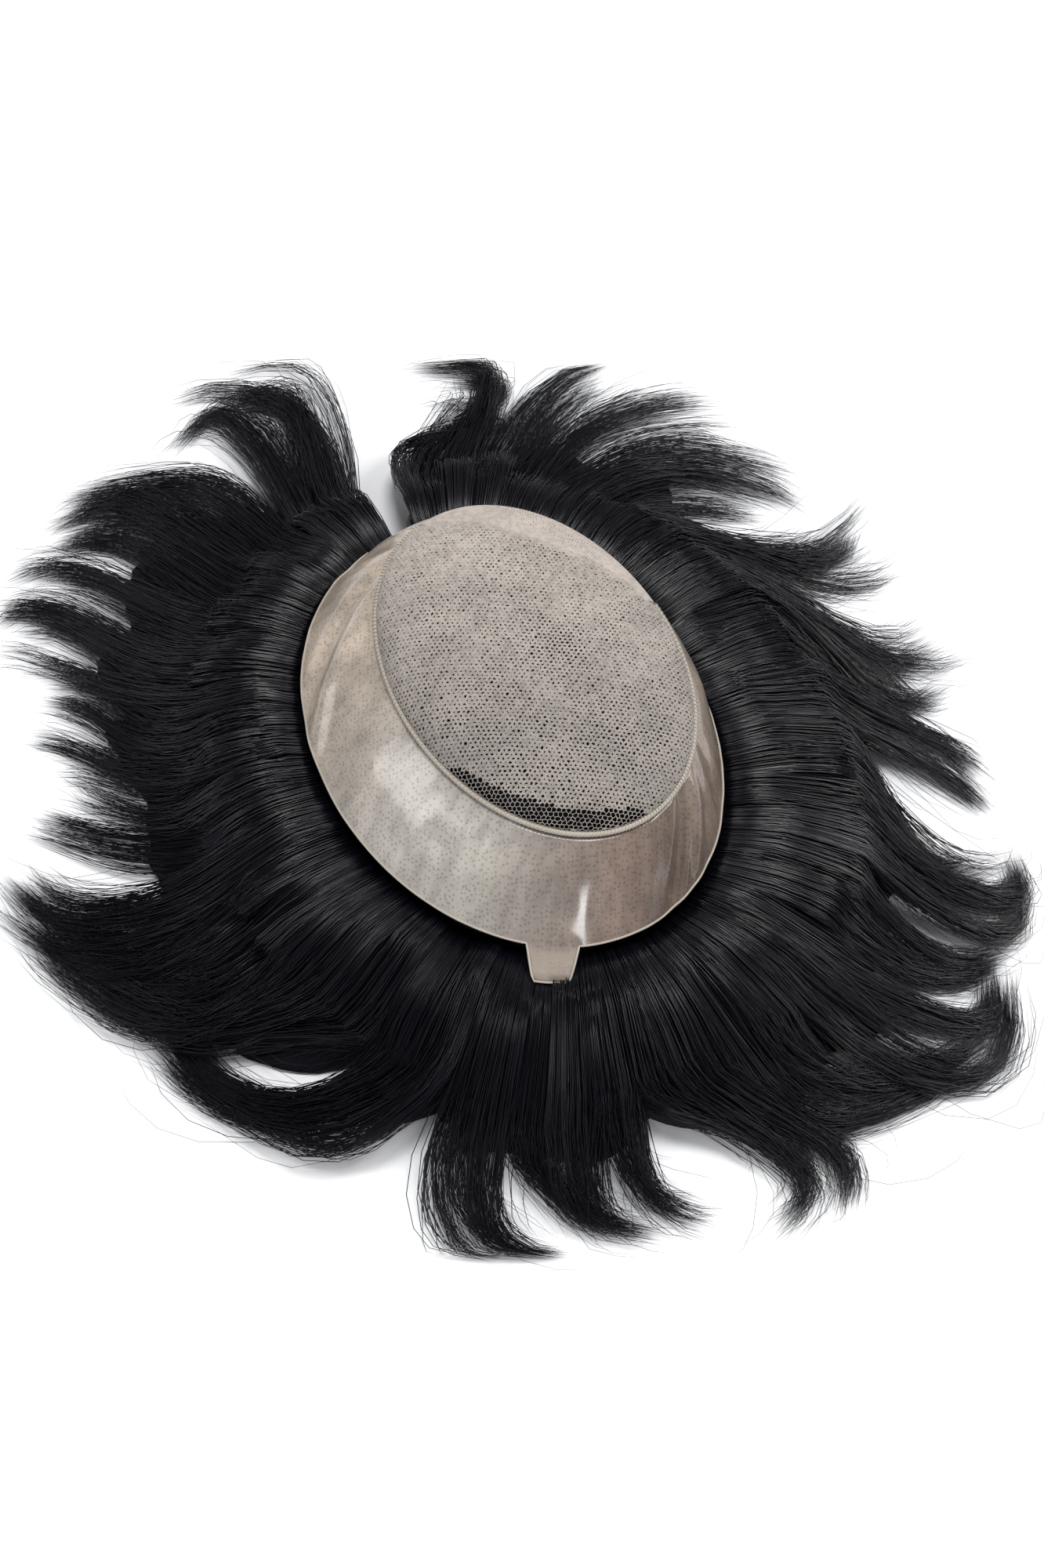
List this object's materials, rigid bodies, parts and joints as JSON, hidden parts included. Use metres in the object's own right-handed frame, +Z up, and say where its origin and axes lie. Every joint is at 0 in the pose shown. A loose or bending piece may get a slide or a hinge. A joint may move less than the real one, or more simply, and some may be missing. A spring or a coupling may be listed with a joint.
{
  "type": "lace front wig",
  "caption": "Lace front hairpiece lying hair down, its cap turned scalp side out: mesh crown, fine lace front and glossy skin skirt, with short black hair fanned out all round.",
  "frame": {"origin": "middle of the overall box, on the table that the hair lies on", "axes": "+Z up, +Y towards the lace front at the far side, +X to the right as seen from the near side"},
  "size_m": [0.4344, 0.448, 0.0734],
  "materials": {
    "lace": "pale grey beige net with open hexagonal holes, matt",
    "fine_lace": "very fine pale net, matt",
    "skin": "thin clear film, wet looking gloss, the dark hair showing through a little",
    "thread": "pale sewn edge",
    "hair": "straight to slightly wavy black hair with a soft sheen"
  },
  "bodies": {
    "root": {"lace_crown": "lace", "lace_front": "fine_lace", "skin_skirt": "skin", "seam_welt": "thread", "hair_mat": "hair", "hair_lock_01": "hair", "hair_lock_02": "hair", "hair_lock_03": "hair", "hair_lock_04": "hair", "hair_lock_05": "hair", "hair_lock_06": "hair", "hair_lock_07": "hair", "hair_lock_08": "hair", "hair_lock_09": "hair", "hair_lock_10": "hair", "hair_lock_11": "hair", "hair_lock_12": "hair", "hair_lock_13": "hair", "hair_lock_14": "hair", "hair_lock_15": "hair", "hair_lock_16": "hair", "hair_lock_17": "hair", "hair_lock_18": "hair", "hair_lock_19": "hair", "hair_lock_20": "hair", "hair_lock_21": "hair", "hair_lock_22": "hair", "hair_lock_23": "hair", "hair_lock_24": "hair", "hair_lock_25": "hair"}
  },
  "joints": []
}
